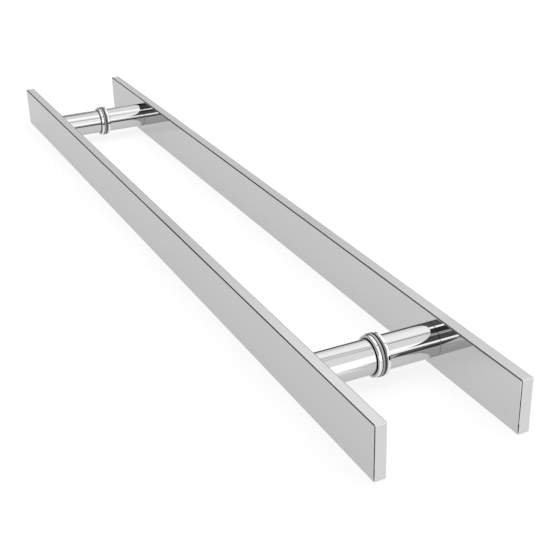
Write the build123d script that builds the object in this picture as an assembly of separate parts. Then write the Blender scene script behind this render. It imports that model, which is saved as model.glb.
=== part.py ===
from build123d import *
import os

os.makedirs("parts", exist_ok=True)

# Double-sided door pull: two flat bars stand on round posts and are bolted to each other through a door.
# Millimetres. X runs along the bars, Y runs through the door from the front bar to the back bar, Z is up.
# The origin is midway between the bars and the posts, at the level of the bars' lower edges.

# Flat bars
bar_length = 800.0
bar_height = 40.0
bar_thick = 9.0
bar_ease = 1.0
overall_depth = 114.0

# Posts
post_inset = 100.0
post_d = 25.0
post_chamfer = 0.3
post_relief_width = 0.6
post_relief_depth = 1.0

# Clamping stack at the door plane: flange, gasket, gasket, flange
door_plane_y = 2.5
flange_d = 30.0
flange_thick = 2.5
flange_ease = 0.5
gasket_d = 31.0
gasket_thick = 2.0
gasket_ease = 0.8

# M8 threads, drawn at their nominal diameter, so a stud touches the hole that it is screwed into
thread_d = 8.0
thread_chamfer = 0.6
hole_chamfer = 0.5
hole_run_out = 0.3
drill_point = 2.4
key_across_flats = 4.0
key_depth = 4.0
stud_clearance = 0.2

# Through studs
stud_length = 50.0
stud_in_front_post = 20.0
stud_end_room = 3.0

# Mounting bosses, which slide into the back posts
boss_d = 18.0
boss_length = 14.0
boss_chamfer = 0.5
boss_clearance = 0.15
groove_depth = 1.6
groove_floor = 1.2
spanner_flats = 16.0
spanner_flat_length = 4.0

# Set screws, M5 with a cone point
screw_d = 5.0
screw_length = 5.0
screw_chamfer = 0.3
screw_key_across_flats = 2.5
screw_key_depth = 2.5

# Studs that join each post to its bar
joint_stud_length = 14.0
joint_stud_in_bar = 6.0

axis_z = bar_height / 2
stack_half = flange_thick + gasket_thick
bar_face_y = overall_depth / 2 - bar_thick
post_x = bar_length / 2 - post_inset
ends = {"left": -post_x, "right": post_x}
boss_mid = boss_length / 2
boss_bore_depth = stud_length - stud_in_front_post - 2 * stack_half + stud_end_room
screw_y = door_plane_y + stack_half + boss_mid

# A side is +1 where a local Y runs the same way as the frame's Y, and -1 where it runs against it.
front, back = 1, -1
front_post_length = door_plane_y - stack_half + bar_face_y
back_post_length = bar_face_y - door_plane_y - stack_half


def turned(profile, x, y_start, side):
    """Solid of revolution on a post's axis, from (radius, distance from y_start) points."""
    outline = Polyline(*[(r, side * y) for r, y in profile], close=True)
    return Pos(x, y_start, axis_z) * revolve(make_face(outline), axis=Axis.Y)


def socket(across_flats, depth):
    """Hexagonal key socket, standing on Z with its mouth at the origin and its floor below."""
    return extrude(RegularPolygon(across_flats / 2, 6, major_radius=False), -depth)


def bar(side):
    """Flat bar with eased edges and two blind tapped holes in its inner face."""
    body = fillet(Box(bar_length, bar_thick, bar_height).edges(), bar_ease)
    body = Pos(0, -side * (bar_face_y + bar_thick / 2), axis_z) * body
    depth = joint_stud_in_bar + hole_run_out
    r = thread_d / 2
    hole = [(0, 0), (r + hole_chamfer, 0), (r, hole_chamfer), (r, depth), (0, depth)]
    for x in ends.values():
        body -= turned(hole, x, -side * bar_face_y, -side)
    return body


def post_outline(length, door_hole):
    """Post profile from its bar end: a tapped hole at that end, door_hole in the other, and a relief at its foot."""
    r = post_d / 2
    t = thread_d / 2
    depth = joint_stud_length - joint_stud_in_bar + hole_run_out
    tapped = [(0, depth + drill_point), (t, depth), (t, hole_chamfer), (t + hole_chamfer, 0)]
    c = post_chamfer
    foot = r - post_relief_depth
    shoulder = length - post_relief_width
    skin = [(r - c, 0), (r, c), (r, shoulder - c), (r - c, shoulder), (foot, shoulder), (foot, length)]
    return tapped + skin + [(rad, length - y) for rad, y in door_hole]


def front_post(x):
    """Post of the front half, tapped at the door end for the through stud."""
    t = thread_d / 2
    depth = stud_in_front_post + hole_run_out
    hole = [(t + hole_chamfer, 0), (t, hole_chamfer), (t, depth), (0, depth + drill_point)]
    return turned(post_outline(front_post_length, hole), x, -bar_face_y, front)


def back_post(x):
    """Post of the back half, bored to slide over its boss, with a tapped hole from below for the set screw."""
    r = boss_d / 2 + boss_clearance
    hole = [(r + hole_chamfer, 0), (r, hole_chamfer), (r, boss_bore_depth), (0, boss_bore_depth)]
    body = turned(post_outline(back_post_length, hole), x, bar_face_y, back)
    return body - Pos(x, screw_y, axis_z - post_d / 4) * Cylinder(screw_d / 2, post_d / 2)


def ring(diameter, thick, ease, x, y_start, side):
    """Flat ring with softened rims, bored to clear the through stud."""
    disc = turned([(0, 0), (diameter / 2, 0), (diameter / 2, thick), (0, thick)], x, y_start, side)
    disc = fillet(disc.edges().filter_by(GeomType.CIRCLE), ease)
    r = thread_d / 2 + stud_clearance
    return disc - turned([(0, 0), (r, 0), (r, thick), (0, thick)], x, y_start, side)


def flange(x, side):
    """Polished flange washer that a post bears on."""
    return ring(flange_d, flange_thick, flange_ease, x, door_plane_y - side * stack_half, side)


def gasket(x, side):
    """Soft washer between a flange and the door."""
    return ring(gasket_d, gasket_thick, gasket_ease, x, door_plane_y - side * gasket_thick, side)


def stud(x, y_start, length, side):
    """Headless M8 stud with a key socket in its far end."""
    r = thread_d / 2
    c = thread_chamfer
    body = turned([(0, 0), (r - c, 0), (r, c), (r, length - c), (r - c, length), (0, length)], x, y_start, side)
    key = Pos(x, y_start + side * length, axis_z) * Rot(-90 * side, 0, 0)
    return body - key * socket(key_across_flats, key_depth)


def through_stud(x):
    """Stud from the front post through the door to the boss."""
    return stud(x, door_plane_y - stack_half - stud_in_front_post, stud_length, front)


def joint_stud(x, side):
    """Stud that joins a post to its bar, with its key socket in the post."""
    return stud(x, -side * (bar_face_y + joint_stud_in_bar), joint_stud_length, side)


def boss(x):
    """Threaded boss with a groove for the set screw and two spanner flats at its free end."""
    r = boss_d / 2
    c = boss_chamfer
    t = thread_d / 2
    lip = groove_floor / 2 + groove_depth
    groove = [
        (r, boss_mid - lip),
        (r - groove_depth, boss_mid - groove_floor / 2),
        (r - groove_depth, boss_mid + groove_floor / 2),
        (r, boss_mid + lip),
    ]
    rim = [(r - c, 0), (r, c)] + groove + [(r, boss_length - c), (r - c, boss_length)]
    seat_y = door_plane_y + stack_half
    body = turned([(t, 0)] + rim + [(t, boss_length)], x, seat_y, front)
    waste = Box(boss_d, spanner_flat_length, boss_d) - Box(spanner_flats, spanner_flat_length, boss_d)
    return body - Pos(x, seat_y + boss_length - spanner_flat_length / 2, axis_z) * waste


def set_screw(x):
    """Headless screw that holds the back post on its boss, with its key socket facing down."""
    body = Cylinder(screw_d / 2, screw_length)
    body = chamfer(body.edges().group_by(Axis.Z)[-1], (screw_d - groove_floor) / 2)
    body = chamfer(body.edges().group_by(Axis.Z)[0], screw_chamfer)
    key = Pos(0, 0, -screw_length / 2) * Rot(180, 0, 0) * socket(screw_key_across_flats, screw_key_depth)
    tip_z = axis_z - boss_d / 2 + groove_depth
    return Pos(x, screw_y, tip_z - screw_length / 2) * (body - key)


nodes = {"front_bar": bar(front), "back_bar": bar(back)}
for end, x in ends.items():
    nodes[f"front_post_{end}"] = front_post(x)
    nodes[f"back_post_{end}"] = back_post(x)
    nodes[f"through_stud_{end}"] = through_stud(x)
    nodes[f"boss_{end}"] = boss(x)
    nodes[f"set_screw_{end}"] = set_screw(x)
    for name, side in (("front", front), ("back", back)):
        nodes[f"{name}_flange_{end}"] = flange(x, side)
        nodes[f"{name}_gasket_{end}"] = gasket(x, side)
        nodes[f"{name}_joint_stud_{end}"] = joint_stud(x, side)

for name, solid in nodes.items():
    export_step(solid, f"parts/{name}.step")
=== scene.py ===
import math

import bpy
import numpy as np
from bpy.props import FloatProperty, FloatVectorProperty, PointerProperty
from mathutils import Euler, Matrix, Vector


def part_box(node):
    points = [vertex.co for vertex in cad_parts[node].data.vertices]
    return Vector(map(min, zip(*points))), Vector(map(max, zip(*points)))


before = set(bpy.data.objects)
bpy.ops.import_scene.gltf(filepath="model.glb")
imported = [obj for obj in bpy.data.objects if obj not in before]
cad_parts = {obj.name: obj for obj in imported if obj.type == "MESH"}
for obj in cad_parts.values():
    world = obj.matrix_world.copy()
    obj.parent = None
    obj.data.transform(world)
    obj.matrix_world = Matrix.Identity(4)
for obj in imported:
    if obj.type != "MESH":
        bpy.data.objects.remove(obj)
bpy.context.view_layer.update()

bl_info = {
    "name": "Double-sided flat bar door pull",
    "version": (1, 0, 0),
    "blender": (4, 5, 0),
    "location": "View3D > Sidebar > Door Pull",
    "description": "Finishes a back-to-back chrome door pull and lights it in a white studio",
    "category": "Object",
}

MM = 0.001
ENDS = ("left", "right")
SIDES = ("front", "back")


def box_of(node):
    """Low and high corners of a CAD node, in metres."""
    return np.array(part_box(node))


BAR_END_X = float(box_of("front_bar")[1][0])
FRONT_Y = float(box_of("front_bar")[0][1])
BACK_INNER_Y = float(box_of("back_bar")[0][1])
BAR_THICK = float(box_of("front_bar")[1][1]) - FRONT_Y
DOOR_PLANE_Y = float(box_of("front_gasket_left")[1][1])
POST_X, _, POST_Z = (float(value) for value in box_of("front_post_right").mean(0))
POST_RADIUS = float(box_of("front_post_right")[1][2]) - POST_Z
GASKET_THICK = DOOR_PLANE_Y - float(box_of("front_gasket_left")[0][1])


# Colours and materials

# Real spacing of each finish's pattern: buffing waves are long, and the wheel's swirls a few mm apart.
BUFFING_WAVE = 70 * MM
WHEEL_SWIRL = 4 * MM
RUBBER_GRAIN = 1 * MM
RUBBER_GRAIN_DEPTH = 0.01 * MM
# A lathe leaves rings about 0.1 mm apart, drawn coarser here so that they show.
LATHE_RING = 0.5 * MM
# Blender's wave texture repeats at this length over its scale.
WAVE_PERIOD = math.tau / 20

# Least and most share of a finish's roughness, where the wheel has swirled it or the lathe has left rings.
SWIRL_HAZE = (0.7, 1.3)
RING_HAZE = (0.8, 1.2)

# Chrome gives back slightly less than all light at grazing angles.
GRAZING_TINT = "EDEDED"

# The groove at a post's foot, where shade is painted into the colour. The painted shade ends and the bright
# plate starts at these radii, in mm more than the post's own.
POST_PAINTED_SHADE = (-0.8, -0.4)
WASHER_PAINTED_SHADE = (0.5, 0.8)
# Colour of the shade painted in the groove and the bores.
GROOVE_PAINTED_SHADE = "080808"

# A washer's faces aren't buffed. They are those whose normals run along the post, by the normal's Y.
FACE_NORMAL = (0.8, 0.95)
FACE_ROUGHNESS = 0.5
FACE_METAL = 0.05

# Tones across a pair of gaskets, from the front washer at 0 to the back washer at 1. The seam tone is shade
# painted into the colour, in the seams beside and between the gaskets.
GASKET_TONES = (
    (0.02, "seam_shade"),
    (0.08, "front"),
    (0.4, "front"),
    (0.44, "seam_shade"),
    (0.7, "seam_shade"),
    (0.76, "back"),
    (0.88, "back"),
    (0.96, "seam_shade"),
)
RUBBER_ROUGHNESS = 0.3
STEEL_ROUGHNESS = 0.28

# Sockets of Blender's Mix node when it mixes colours.
MIX_FROM, MIX_TO, MIXED = 6, 7, 2


def srgb(text):
    """Linear RGBA of an sRGB hex colour."""
    value = np.array([int(text[i : i + 2], 16) for i in (0, 2, 4)]) / 255
    linear = np.where(value <= 0.04045, value / 12.92, ((value + 0.055) / 1.055) ** 2.4)
    return (*linear.tolist(), 1.0)


def add(tree, kind, sockets=None, **fields):
    """Adds a node, sets its fields, and fills its sockets with values or links from other nodes' outputs."""
    node = tree.nodes.new(kind)
    for name, value in fields.items():
        setattr(node, name, value)
    for name, value in (sockets or {}).items():
        if isinstance(value, bpy.types.NodeSocket):
            tree.links.new(value, node.inputs[name])
        else:
            node.inputs[name].default_value = value
    return node


def new_material(name):
    """An empty node material and its tree."""
    material = bpy.data.materials.new(name)
    material.use_nodes = True
    material.node_tree.nodes.clear()
    return material, material.node_tree


def surface(tree, shader):
    """Makes a shader the material's surface."""
    add(tree, "ShaderNodeOutputMaterial", {"Surface": shader})


def chrome_shader(tree, place, colour, haze, wave, metal=1.0):
    """Chrome plate's shader: a colourless mirror, with the slight long wave that buffing leaves."""
    buffing = add(
        tree,
        "ShaderNodeTexNoise",
        {"Vector": place, "Scale": 1 / BUFFING_WAVE, "Detail": 1.0, "Roughness": 0.4},
    )
    bump = add(tree, "ShaderNodeBump", {"Height": buffing.outputs["Fac"], "Strength": 1.0, "Distance": wave})
    shader = add(
        tree,
        "ShaderNodeBsdfPrincipled",
        {
            "Base Color": colour,
            "Metallic": metal,
            "Specular Tint": srgb(GRAZING_TINT),
            "Roughness": haze,
            "Normal": bump.outputs["Normal"],
        },
    )
    surface(tree, shader.outputs["BSDF"])


def buffed_haze(tree, place, roughness):
    """Roughness of buffed plate, uneven where the wheel has swirled."""
    swirl = add(
        tree,
        "ShaderNodeTexNoise",
        {"Vector": place, "Scale": 1 / WHEEL_SWIRL, "Detail": 4.0, "Roughness": 0.6},
    )
    low, high = (roughness * share for share in SWIRL_HAZE)
    haze = add(
        tree, "ShaderNodeMapRange", {"Value": swirl.outputs["Fac"], "To Min": low, "To Max": high}
    )
    return haze.outputs["Result"]


def mirror_chrome(name, colour, roughness, wave):
    """Decorative chrome plate on buffed flat bar: a clear mirror with soft edges to what it shows."""
    material, tree = new_material(name)
    place = add(tree, "ShaderNodeTexCoord").outputs["Object"]
    chrome_shader(tree, place, colour, buffed_haze(tree, place, roughness), wave)
    return material


def painted_foot_shade(tree, place, colour, radii):
    """Colour that turns to painted shade towards a post's axis, between two radii in mm more than the post's
    own.
    """
    split = add(tree, "ShaderNodeSeparateXYZ", {"Vector": place})
    side = add(tree, "ShaderNodeMath", {0: split.outputs["X"]}, operation="ABSOLUTE")
    across = add(tree, "ShaderNodeMath", {0: side.outputs[0], 1: POST_X}, operation="SUBTRACT")
    up = add(tree, "ShaderNodeMath", {0: split.outputs["Z"], 1: POST_Z}, operation="SUBTRACT")
    spoke = add(tree, "ShaderNodeCombineXYZ", {"X": across.outputs[0], "Z": up.outputs[0]})
    radius = add(tree, "ShaderNodeVectorMath", {0: spoke.outputs["Vector"]}, operation="LENGTH")
    shaded, bright = (POST_RADIUS + extra * MM for extra in radii)
    clear = add(
        tree,
        "ShaderNodeMapRange",
        {"Value": radius.outputs["Value"], "From Min": shaded, "From Max": bright},
    )
    # Mixes from the painted shade inside to the plate's own colour outside.
    sockets = {"Factor": clear.outputs["Result"], MIX_FROM: srgb(GROOVE_PAINTED_SHADE), MIX_TO: colour}
    return add(tree, "ShaderNodeMix", sockets, data_type="RGBA").outputs[MIXED]


def post_chrome(name, colour, roughness, wave):
    """Chrome plate on a turned post: a clear mirror, with shade painted into its colour in the bore and in
    the groove at its foot.
    """
    material, tree = new_material(name)
    place = add(tree, "ShaderNodeTexCoord").outputs["Object"]
    # Shade painted into the colour, dark in the bore and in the groove at the post's foot.
    tone = painted_foot_shade(tree, place, colour, POST_PAINTED_SHADE)
    chrome_shader(tree, place, tone, buffed_haze(tree, place, roughness), wave)
    return material


def washer_chrome(name, colour, roughness, wave):
    """Chrome plate on a turned washer: a mirror rim, and pale satin faces with shade painted into their
    colour beside the groove.
    """
    material, tree = new_material(name)
    coordinates = add(tree, "ShaderNodeTexCoord")
    place = coordinates.outputs["Object"]
    facing = add(tree, "ShaderNodeSeparateXYZ", {"Vector": coordinates.outputs["Normal"]})
    along = add(tree, "ShaderNodeMath", {0: facing.outputs["Y"]}, operation="ABSOLUTE")
    face = {"Value": along.outputs[0], "From Min": FACE_NORMAL[0], "From Max": FACE_NORMAL[1]}
    satin = add(tree, "ShaderNodeMapRange", {**face, "To Min": 0.0, "To Max": FACE_ROUGHNESS})
    metal = add(tree, "ShaderNodeMapRange", {**face, "To Min": 1.0, "To Max": FACE_METAL})
    haze = add(
        tree,
        "ShaderNodeMath",
        {0: buffed_haze(tree, place, roughness), 1: satin.outputs["Result"]},
        operation="MAXIMUM",
    )
    # Shade painted into the colour of the face beside the groove and in the bore.
    tone = painted_foot_shade(tree, place, colour, WASHER_PAINTED_SHADE)
    chrome_shader(tree, place, tone, haze.outputs[0], wave, metal.outputs["Result"])
    return material


def silicone_rubber(name, tones, roughness):
    """Silicone rubber, moulded: a satin grey with shade painted dark into its colour in the seams."""
    material, tree = new_material(name)
    place = add(tree, "ShaderNodeTexCoord").outputs["Object"]
    depth = add(tree, "ShaderNodeSeparateXYZ", {"Vector": place}).outputs["Y"]
    layer = add(
        tree,
        "ShaderNodeMapRange",
        {"Value": depth, "From Min": DOOR_PLANE_Y - GASKET_THICK, "From Max": DOOR_PLANE_Y + GASKET_THICK},
    )
    # The ramp paints shade dark into the seams beside and between the gaskets.
    ramp = add(tree, "ShaderNodeValToRGB", {"Fac": layer.outputs["Result"]})
    stops = ramp.color_ramp.elements
    stops.remove(stops[1])
    (stops[0].position, tone), *others = GASKET_TONES
    stops[0].color = tones[tone]
    for position, tone in others:
        stops.new(position).color = tones[tone]
    grain = add(tree, "ShaderNodeTexNoise", {"Vector": place, "Scale": 1 / RUBBER_GRAIN, "Detail": 3.0})
    bump = add(
        tree,
        "ShaderNodeBump",
        {"Height": grain.outputs["Fac"], "Strength": 0.3, "Distance": RUBBER_GRAIN_DEPTH},
    )
    shader = add(
        tree,
        "ShaderNodeBsdfPrincipled",
        {"Base Color": ramp.outputs["Color"], "Roughness": roughness, "Normal": bump.outputs["Normal"]},
    )
    surface(tree, shader.outputs["BSDF"])
    return material


def turned_steel(name, colour, roughness):
    """Zinc-plated steel off a lathe: a dull mirror with fine rings along the studs' and bosses' axis, Y."""
    material, tree = new_material(name)
    place = add(tree, "ShaderNodeTexCoord").outputs["Object"]
    rings = add(
        tree,
        "ShaderNodeTexWave",
        {"Vector": place, "Scale": WAVE_PERIOD / LATHE_RING, "Distortion": 1.5, "Detail": 2.0},
        bands_direction="Y",
    )
    low, high = (roughness * share for share in RING_HAZE)
    haze = add(
        tree, "ShaderNodeMapRange", {"Value": rings.outputs["Fac"], "To Min": low, "To Max": high}
    )
    shader = add(
        tree,
        "ShaderNodeBsdfPrincipled",
        {"Base Color": colour, "Metallic": 1.0, "Roughness": haze.outputs["Result"]},
    )
    surface(tree, shader.outputs["BSDF"])
    return material


def finish(nodes, material):
    """Gives CAD nodes a material."""
    for name in nodes:
        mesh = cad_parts[name].data
        mesh.materials.clear()
        mesh.materials.append(material)


# Stage

STUDIO_RADIUS = 8.0

# Studio cards, with elevation and azimuth in degrees and one or two levels, where 1 is white. Azimuth 0 faces
# the front bar, and 90 the near ends. A second level is the top edge's.
STUDIO_CARDS = (
    ("far horizon", (0, 14.2), (-190, -101), 0.12),
    ("far wall", (14.2, 23), (-190, -101), 1.0),
    ("far wall shade", (23, 36), (-190, -127), 1.0, 1.25),
    ("far wall top", (23, 33), (-127, -108), 0.93, 1.36),
    ("far wall end", (23, 26), (-108, -101), 1.0),
    ("far wall slot", (26, 40), (-108, -101), 0.1),
    ("far ceiling", (36, 63), (-190, -127), 1.36, 1.6),
    ("far ceiling end", (33, 63), (-127, -116), 1.33, 1.6),
    ("far corner", (33, 70), (-116, -108), 0.88),
    ("far corner end", (40, 70), (-108, -101), 0.88),
    ("far corner top", (63, 70), (-140, -116), 0.95),
    ("far zenith", (70, 79), (-190, -101), 1.3),
    ("near zenith", (66, 79), (100, 170), 1.85),
    ("near ceiling", (28, 66), (157, 170), 1.15),
    ("ceiling gap", (28, 61), (151, 157), 0.25),
    ("ceiling gap top", (61, 66), (151, 157), 0.7),
    ("near ceiling middle", (28, 66), (135, 151), 1.22),
    ("near ceiling end", (28, 57), (117, 135), 1.25),
    ("near ceiling top", (57, 66), (95, 135), 1.55),
    ("near wall", (21, 31), (86, 112), 1.35),
    ("near wall middle", (31, 44), (95, 117), 1.6),
    ("near wall top", (44, 57), (95, 117), 0.85),
    ("near softbox", (0, 28), (112, 150), 1.85),
    ("near softbox end", (0, 21), (86, 112), 1.85),
    ("black drape", (0, 76), (-101, -60), 0.04),
    ("grey drape", (0, 53), (-60, -34), 0.25),
    ("grey drape top", (53, 76), (-60, -34), 0.15),
    ("front strip light", (53, 60), (-34, -14), 3.2),
    ("front drape", (0, 53), (-34, 38), 0.08),
    ("front drape top", (60, 76), (-34, 46), 0.12),
    ("front drape end", (53, 60), (-14, 46), 0.08),
    ("faint strip light", (37, 49), (38, 50), 0.95),
    ("near strip light", (57, 63), (46, 58), 3.5),
    ("end drape", (15, 37), (38, 86), 0.2),
    ("end drape top", (37, 57), (50, 86), 0.1),
    ("low strip light", (4.5, 14.5), (38, 66), 3.0),
    ("low strip light end", (2.5, 14), (66, 86), 3.0),
    ("end horizon", (0, 4.5), (38, 66), 0.2),
)

# Small cards by the near ends, each just over the floor. A reach runs on past the ends, in mm, and a card's
# numbers are its height in mm, its level or levels, and the axis that the levels run along.
END_REACH = (0.3, 60)
END_CARD = (0.3, 1.2)
# Where each bar's lit card starts in Y, in metres, and how far it runs on from there, in mm.
END_WIDTHS = (("front", FRONT_Y, 47), ("back", BACK_INNER_Y, 62))
FOOT_REACH = (0.3, 12)
FOOT_CARD = (0.4, 0.05)
INNER_BENCH_REACH = (-65, 0)
INNER_BENCH_Y = (FRONT_Y + BAR_THICK, 6 * MM)
INNER_BENCH_CARD = (0.2, 1.1, 1.6, 0)

# An upright black card a little in front of each bar's near corner, as (x past the ends, z) in mm.
CORNER_GAP = 4
CORNER_SHAPE = ((30, 0), (0.2, 0), (0.2, 40), (30, 40))
CORNER_LEVEL = 0.05

# A lit strip of floor that runs off from the near ends, as (x past the ends, y) in mm.
NEAR_BENCH = ((0.3, -12), (3000, 1290), (3000, 1630), (0.3, 47))
NEAR_BENCH_HEIGHT = 0.2
NEAR_BENCH_LEVEL = 1.85

# Dark cards that lean over towards a post and start at the back bar: name, the post's X, low and high edge as
# (x from the post, z) in mm, the Y that the card reaches, and its level.
FLAGS = (
    ("near flag", POST_X, (52, 8), (28, 23), 24 * MM, 0.1),
    ("far flag", -POST_X, (63, 0), (34, 18), -40 * MM, 0.01),
)

# Share of the floor's own white in what the camera and mirrors see of it. The rest keeps the pull's shadow.
FLOOR_WHITE = 0.85

# How bright the studio's walls and the lamp's face are as light, where 1 is white. The lamp's place and side
# are in metres.
AMBIENT_LEVEL = 0.7
LAMP_PLACE = (0.0, 0.3, 1.8)
LAMP_SIZE = 2.4
LAMP_LEVEL = 1.6

# The camera that matches the photograph: its turns about X, Y and Z in degrees, and its place in mm.
CAMERA_TURNS = (63.933, 1.298, 63.791)
CAMERA_PLACE = (844.53, -327.63, 388.34)


def link_mesh(name, points, faces):
    """Makes an object from points and faces and puts it in the scene."""
    mesh = bpy.data.meshes.new(name)
    mesh.from_pydata(points.tolist(), [], faces.tolist())
    thing = bpy.data.objects.new(name, mesh)
    bpy.context.scene.collection.objects.link(thing)
    return thing


def flat_card(name, corners):
    """Flat card from its corners in order, counter-clockwise on the side that glows."""
    return link_mesh(name, np.array(corners, float), np.arange(len(corners))[None])


def dome_card(name, elevation, azimuth, steps=48):
    """
    Part of a sphere around the pull, on a grid of elevation e and azimuth a between limits in degrees. Each
    point is the radius times (cosine e times sine a, minus cosine e times cosine a, sine e).
    """
    e, a = np.meshgrid(np.radians(np.linspace(*elevation, steps)), np.radians(np.linspace(*azimuth, steps)))
    points = STUDIO_RADIUS * np.stack([np.cos(e) * np.sin(a), -np.cos(e) * np.cos(a), np.sin(e)], -1)
    i = np.arange(steps * steps).reshape(steps, steps)
    faces = np.stack([i[:-1, :-1], i[:-1, 1:], i[1:, 1:], i[1:, :-1]], -1)
    return link_mesh(name, points.reshape(-1, 3), faces.reshape(-1, 4))


def level_along(tree, thing, axis, level, far_level):
    """Strength that runs from level to far_level between a card's lowest and highest point on an axis."""
    places = np.empty(3 * len(thing.data.vertices))
    thing.data.vertices.foreach_get("co", places)
    along = places[axis::3]
    place = add(tree, "ShaderNodeTexCoord").outputs["Object"]
    rise = add(
        tree,
        "ShaderNodeMapRange",
        {
            "Value": add(tree, "ShaderNodeSeparateXYZ", {"Vector": place}).outputs[axis],
            "From Min": float(along.min()),
            "From Max": float(along.max()),
            "To Min": level,
            "To Max": far_level,
        },
    )
    return rise.outputs["Result"]


def glow(thing, level, far_level=None, axis=2):
    """Turns a stage piece into a card that only mirrors see, on its front alone, with one level or two."""
    material, tree = new_material(thing.name)
    strength = level if far_level is None else level_along(tree, thing, axis, level, far_level)
    emission = add(tree, "ShaderNodeEmission", {"Strength": strength})
    clear = add(tree, "ShaderNodeBsdfTransparent")
    back = add(tree, "ShaderNodeNewGeometry").outputs["Backfacing"]
    mix = add(
        tree, "ShaderNodeMixShader", {"Fac": back, 1: emission.outputs["Emission"], 2: clear.outputs["BSDF"]}
    )
    surface(tree, mix.outputs["Shader"])
    material.cycles.emission_sampling = "NONE"
    thing.data.materials.append(material)
    thing.visible_camera = False
    thing.visible_diffuse = False
    thing.visible_shadow = False


def bench_card(name, reach, y, height, *levels):
    """Card just over the floor, with its reach past the near ends and its height in mm, and y in metres."""
    near, far = (BAR_END_X + distance * MM for distance in reach)
    corners = ((near, y[0]), (far, y[0]), (far, y[1]), (near, y[1]))
    glow(flat_card(name, [(*corner, height * MM) for corner in corners]), *levels)


def corner_cards(side, y, width):
    """What one bar's near end mirrors: a lit bench in its end face, and black cards in its upright edge."""
    bench_card(f"{side} end", END_REACH, (y, y + width * MM), *END_CARD)
    bench_card(f"{side} corner foot", FOOT_REACH, (y - FOOT_REACH[1] * MM, y), *FOOT_CARD)
    card_y = y - CORNER_GAP * MM
    corners = [(BAR_END_X + x * MM, card_y, z * MM) for x, z in CORNER_SHAPE]
    glow(flat_card(f"{side} corner", corners), CORNER_LEVEL)


def flag(name, post_x, low, high, y, level):
    """Small card that leans over towards a post, so that only mirrors that look along +X see it."""
    (low_x, low_z), (high_x, high_z) = ((post_x + x * MM, z * MM) for x, z in (low, high))
    corners = [
        (low_x, BACK_INNER_Y, low_z),
        (low_x, y, low_z),
        (high_x, y, high_z),
        (high_x, BACK_INNER_Y, high_z),
    ]
    glow(flat_card(name, corners), level)


def plainly_seen(tree):
    """1 on rays from the camera, off a mirror or through glass, and 0 on those that light the pull."""
    path = add(tree, "ShaderNodeLightPath")
    mirrored = add(
        tree,
        "ShaderNodeMath",
        {0: path.outputs["Is Camera Ray"], 1: path.outputs["Is Glossy Ray"]},
        operation="MAXIMUM",
    )
    seen = add(
        tree,
        "ShaderNodeMath",
        {0: mirrored.outputs[0], 1: path.outputs["Is Transmission Ray"]},
        operation="MAXIMUM",
    )
    return seen.outputs[0]


class PullFinish(bpy.types.PropertyGroup):
    """Colours and finish of the pull's pieces"""

    chrome: FloatVectorProperty(
        name="Chrome",
        description="Reflectance of the chrome plate on the bars and posts",
        subtype="COLOR",
        size=4,
        min=0,
        max=1,
        default=srgb("C3C3C3"),
    )
    chrome_roughness: FloatProperty(
        name="Chrome roughness", description="How far the mirror is blurred", default=0.03, min=0, max=1
    )
    chrome_wave: FloatProperty(
        name="Buffing wave",
        description="Height of the long wave that buffing leaves in the plate",
        default=0.004 * MM,
        unit="LENGTH",
    )
    washer: FloatVectorProperty(
        name="Washers",
        description="Reflectance of the plate on the flange washers",
        subtype="COLOR",
        size=4,
        min=0,
        max=1,
        default=srgb("E6E6E6"),
    )
    front_rubber: FloatVectorProperty(
        name="Front gaskets",
        description="Colour of the gaskets of the front half",
        subtype="COLOR",
        size=4,
        min=0,
        max=1,
        default=srgb("A4A5A6"),
    )
    back_rubber: FloatVectorProperty(
        name="Back gaskets",
        description="Colour of the gaskets of the back half",
        subtype="COLOR",
        size=4,
        min=0,
        max=1,
        default=srgb("8E8E90"),
    )
    # Painted shade: the dark colour painted in the seams beside and between the gaskets.
    rubber_seam_shade: FloatVectorProperty(
        name="Gasket seams",
        description="Colour of the rubber in the seams beside and between the gaskets",
        subtype="COLOR",
        size=4,
        min=0,
        max=1,
        default=srgb("030303"),
    )
    steel: FloatVectorProperty(
        name="Fixings",
        description="Reflectance of the studs, bosses and set screws",
        subtype="COLOR",
        size=4,
        min=0,
        max=1,
        default=srgb("B4B6B9"),
    )


class PullStage(bpy.types.PropertyGroup):
    """Size, light and lens of the stage"""

    floor_size: FloatProperty(
        name="Floor", description="Side of the square floor", default=18.0, unit="LENGTH"
    )
    sky_level: FloatProperty(
        name="Sky", description="Brightness of the studio around the pull, where 1 is white", default=1.0
    )
    focal_length: FloatProperty(
        name="Focal length", description="Lens of the camera in mm on a 36 mm sensor", default=69.14
    )


class PieceOperator:
    """What all the operators share"""

    bl_options = {"REGISTER", "UNDO"}


class DOORPULL_OT_bars(PieceOperator, bpy.types.Operator):
    """Finishes the two flat bars in mirror chrome"""

    bl_idname = "doorpull.bars"
    bl_label = "Bars"

    def execute(self, context):
        look = context.scene.pull_finish
        chrome = mirror_chrome("chrome plated bar", look.chrome, look.chrome_roughness, look.chrome_wave)
        finish([f"{side}_bar" for side in SIDES], chrome)
        return {"FINISHED"}


class DOORPULL_OT_posts(PieceOperator, bpy.types.Operator):
    """Finishes the four posts and the flange washers in chrome"""

    bl_idname = "doorpull.posts"
    bl_label = "Posts and washers"

    def execute(self, context):
        look = context.scene.pull_finish
        buffing = (look.chrome_roughness, look.chrome_wave)
        post = post_chrome("chrome plated post", look.chrome, *buffing)
        finish([f"{side}_post_{end}" for side in SIDES for end in ENDS], post)
        washer = washer_chrome("chrome plated washer", look.washer, *buffing)
        finish([f"{side}_flange_{end}" for side in SIDES for end in ENDS], washer)
        return {"FINISHED"}


class DOORPULL_OT_gaskets(PieceOperator, bpy.types.Operator):
    """Finishes the gaskets in grey silicone rubber"""

    bl_idname = "doorpull.gaskets"
    bl_label = "Gaskets"

    def execute(self, context):
        look = context.scene.pull_finish
        # The seam tone is painted shade.
        tones = {"front": look.front_rubber, "back": look.back_rubber, "seam_shade": look.rubber_seam_shade}
        rubber = silicone_rubber("silicone rubber gasket", tones, RUBBER_ROUGHNESS)
        finish([f"{side}_gasket_{end}" for side in SIDES for end in ENDS], rubber)
        return {"FINISHED"}


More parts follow.
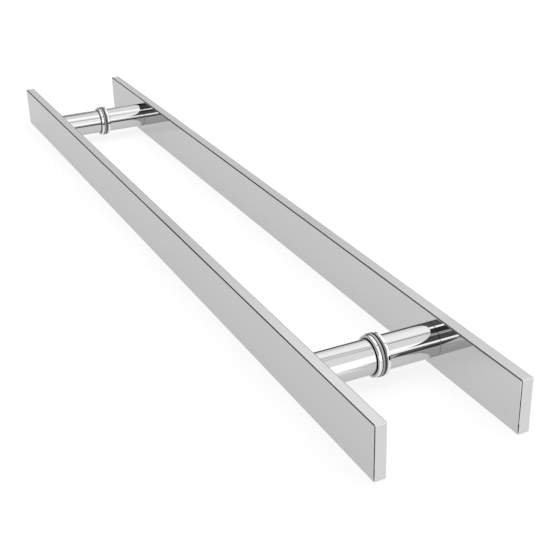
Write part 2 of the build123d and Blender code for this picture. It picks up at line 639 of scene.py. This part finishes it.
class DOORPULL_OT_fixings(PieceOperator, bpy.types.Operator):
    """Finishes the hidden studs, bosses and set screws in turned steel"""

    bl_idname = "doorpull.fixings"
    bl_label = "Fixings"

    def execute(self, context):
        steel = turned_steel("zinc plated steel", context.scene.pull_finish.steel, STEEL_ROUGHNESS)
        finish([f"{kind}_{end}" for kind in ("through_stud", "boss", "set_screw") for end in ENDS], steel)
        finish([f"{side}_joint_stud_{end}" for side in SIDES for end in ENDS], steel)
        return {"FINISHED"}


class DOORPULL_OT_stage(PieceOperator, bpy.types.Operator):
    """Lays the white floor, hangs the light and the cards, and places the camera"""

    bl_idname = "doorpull.stage"
    bl_label = "Stage"

    def execute(self, context):
        stage = context.scene.pull_stage
        self.floor(stage)
        self.sky(context, stage)
        self.light(context)
        self.cards()
        self.camera(context, stage)
        context.scene.view_settings.view_transform = "Standard"
        return {"FINISHED"}

    def floor(self, stage):
        """White painted board, which keeps the pull's shadow."""
        half = stage.floor_size / 2
        floor = flat_card("floor", [(-half, -half, 0), (half, -half, 0), (half, half, 0), (-half, half, 0)])
        material, tree = new_material("white floor")
        paint = add(tree, "ShaderNodeBsdfDiffuse", {"Color": srgb("FFFFFF")})
        white = add(tree, "ShaderNodeEmission", {"Color": srgb("FFFFFF"), "Strength": 1.0})
        lift = add(tree, "ShaderNodeMath", {0: plainly_seen(tree), 1: FLOOR_WHITE}, operation="MULTIPLY")
        mix = add(
            tree,
            "ShaderNodeMixShader",
            {"Fac": lift.outputs[0], 1: paint.outputs["BSDF"], 2: white.outputs["Emission"]},
        )
        surface(tree, mix.outputs["Shader"])
        floor.data.materials.append(material)

    def sky(self, context, stage):
        """White studio walls, which light the pull a little less than they look white."""
        world = bpy.data.worlds.new("white studio")
        world.use_nodes = True
        tree = world.node_tree
        tree.nodes.clear()
        plain = add(tree, "ShaderNodeBackground", {"Color": srgb("FFFFFF"), "Strength": AMBIENT_LEVEL})
        white = add(tree, "ShaderNodeBackground", {"Color": srgb("FFFFFF"), "Strength": stage.sky_level})
        mix = add(
            tree,
            "ShaderNodeMixShader",
            {"Fac": plainly_seen(tree), 1: plain.outputs["Background"], 2: white.outputs["Background"]},
        )
        add(tree, "ShaderNodeOutputWorld", {"Surface": mix.outputs["Shader"]})
        context.scene.world = world

    def light(self, context):
        """One broad lamp overhead, which mirrors don't show."""
        lamp = bpy.data.lights.new("overhead lamp", "AREA")
        lamp.shape = "RECTANGLE"
        lamp.size, lamp.size_y = LAMP_SIZE, LAMP_SIZE
        lamp.energy = LAMP_LEVEL * math.pi * lamp.size * lamp.size_y
        softbox = bpy.data.objects.new("overhead lamp", lamp)
        softbox.location = LAMP_PLACE
        context.scene.collection.objects.link(softbox)
        softbox.visible_camera = False
        softbox.visible_glossy = False

    def cards(self):
        """Hangs what the chrome mirrors: the studio all round, and small cards by the ends and the posts."""
        for name, elevation, azimuth, *levels in STUDIO_CARDS:
            glow(dome_card(name, elevation, azimuth), *levels)
        for side, y, width in END_WIDTHS:
            corner_cards(side, y, width)
        height = NEAR_BENCH_HEIGHT * MM
        corners = [(BAR_END_X + x * MM, y * MM, height) for x, y in NEAR_BENCH]
        glow(flat_card("near bench", corners), NEAR_BENCH_LEVEL)
        bench_card("inner bench", INNER_BENCH_REACH, INNER_BENCH_Y, *INNER_BENCH_CARD)
        for row in FLAGS:
            flag(*row)

    def camera(self, context, stage):
        """Places the camera that fits the photograph."""
        lens = bpy.data.cameras.new("photo camera")
        lens.sensor_width = 36.0
        lens.lens = stage.focal_length
        lens.clip_start, lens.clip_end = 0.01, 50.0
        camera = bpy.data.objects.new("photo camera", lens)
        turn = Euler([math.radians(degrees) for degrees in CAMERA_TURNS]).to_matrix().to_4x4()
        camera.matrix_world = Matrix.Translation(Vector(CAMERA_PLACE) * MM) @ turn
        context.scene.collection.objects.link(camera)
        context.scene.camera = camera


class DOORPULL_PT_panel(bpy.types.Panel):
    """Lists the pull's pieces and the stage"""

    bl_label = "Door pull"
    bl_idname = "DOORPULL_PT_panel"
    bl_space_type = "VIEW_3D"
    bl_region_type = "UI"
    bl_category = "Door Pull"

    def draw(self, context):
        layout = self.layout
        for operator in OPERATORS:
            layout.operator(operator.bl_idname)
        for group in (context.scene.pull_finish, context.scene.pull_stage):
            box = layout.box()
            for name in type(group).__annotations__:
                box.prop(group, name)


OPERATORS = (
    DOORPULL_OT_bars,
    DOORPULL_OT_posts,
    DOORPULL_OT_gaskets,
    DOORPULL_OT_fixings,
    DOORPULL_OT_stage,
)
CLASSES = (PullFinish, PullStage, *OPERATORS, DOORPULL_PT_panel)


def register():
    for cls in CLASSES:
        bpy.utils.register_class(cls)
    bpy.types.Scene.pull_finish = PointerProperty(type=PullFinish)
    bpy.types.Scene.pull_stage = PointerProperty(type=PullStage)


def unregister():
    del bpy.types.Scene.pull_stage
    del bpy.types.Scene.pull_finish
    for cls in reversed(CLASSES):
        bpy.utils.unregister_class(cls)


def main():
    register()
    bpy.ops.doorpull.bars()
    bpy.ops.doorpull.posts()
    bpy.ops.doorpull.gaskets()
    bpy.ops.doorpull.fixings()
    bpy.ops.doorpull.stage()


if __name__ == "__main__":
    main()
